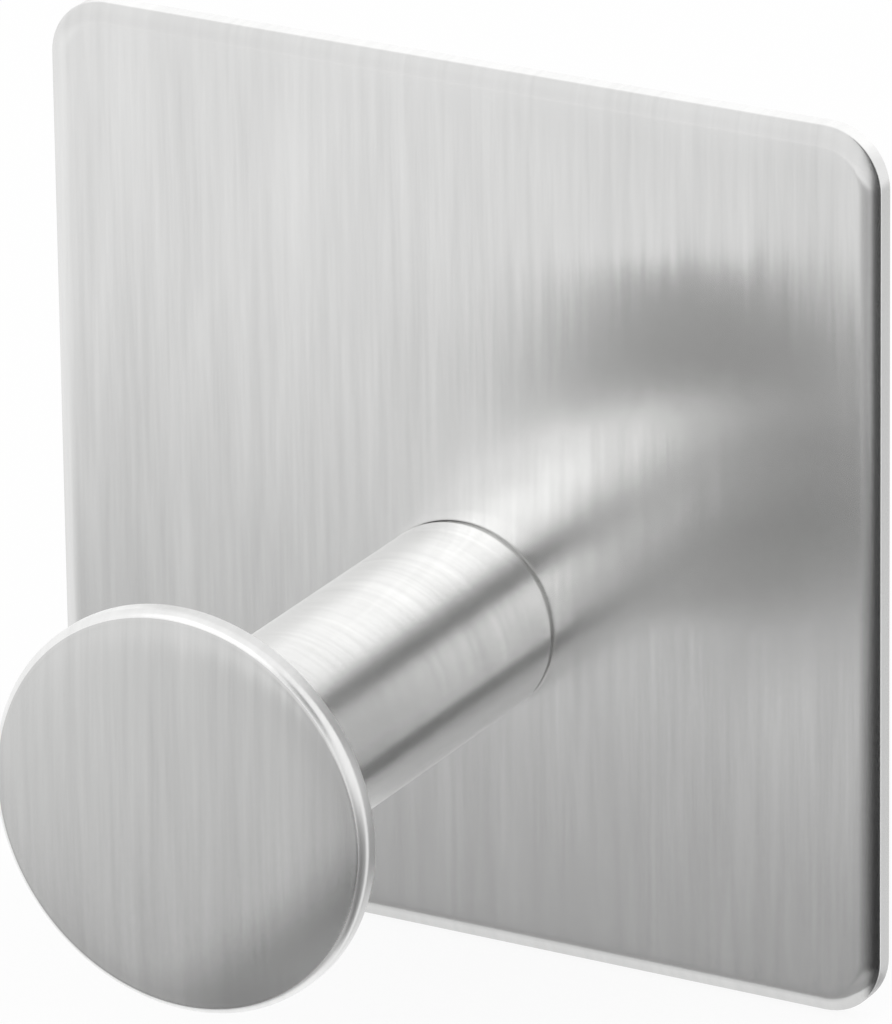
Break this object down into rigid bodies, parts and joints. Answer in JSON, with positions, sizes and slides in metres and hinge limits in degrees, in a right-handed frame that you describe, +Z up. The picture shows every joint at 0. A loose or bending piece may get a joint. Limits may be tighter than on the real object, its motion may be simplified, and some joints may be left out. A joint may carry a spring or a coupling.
{
  "type": "self-adhesive wall hook",
  "caption": "Square brushed-steel plate with a round post and disc head, stuck to a wall by a foam tape pad, for hanging a towel or robe by its loop.",
  "frame": {"origin": "middle of the tape pad's wall face, on the wall", "axes": "+Y into the wall, -Y out along the post, +Z up, +X to the right seen from the room"},
  "size_m": [0.045, 0.0297, 0.045],
  "materials": {
    "plate_steel": "vertical hairline brushing",
    "post_steel": "turned, brushed round the axis",
    "head_steel": "vertical hairline brushing",
    "fastener_steel": "plain bright",
    "foam": "closed-cell acrylic foam",
    "adhesive": "clear tacky acrylic film"
  },
  "bodies": {
    "root": {"back_plate": "plate_steel", "post": "post_steel", "head_disc": "head_steel", "head_stud": "fastener_steel", "plate_screw": "fastener_steel", "plate_adhesive": "adhesive", "foam_carrier": "foam", "wall_adhesive": "adhesive"}
  },
  "joints": []
}
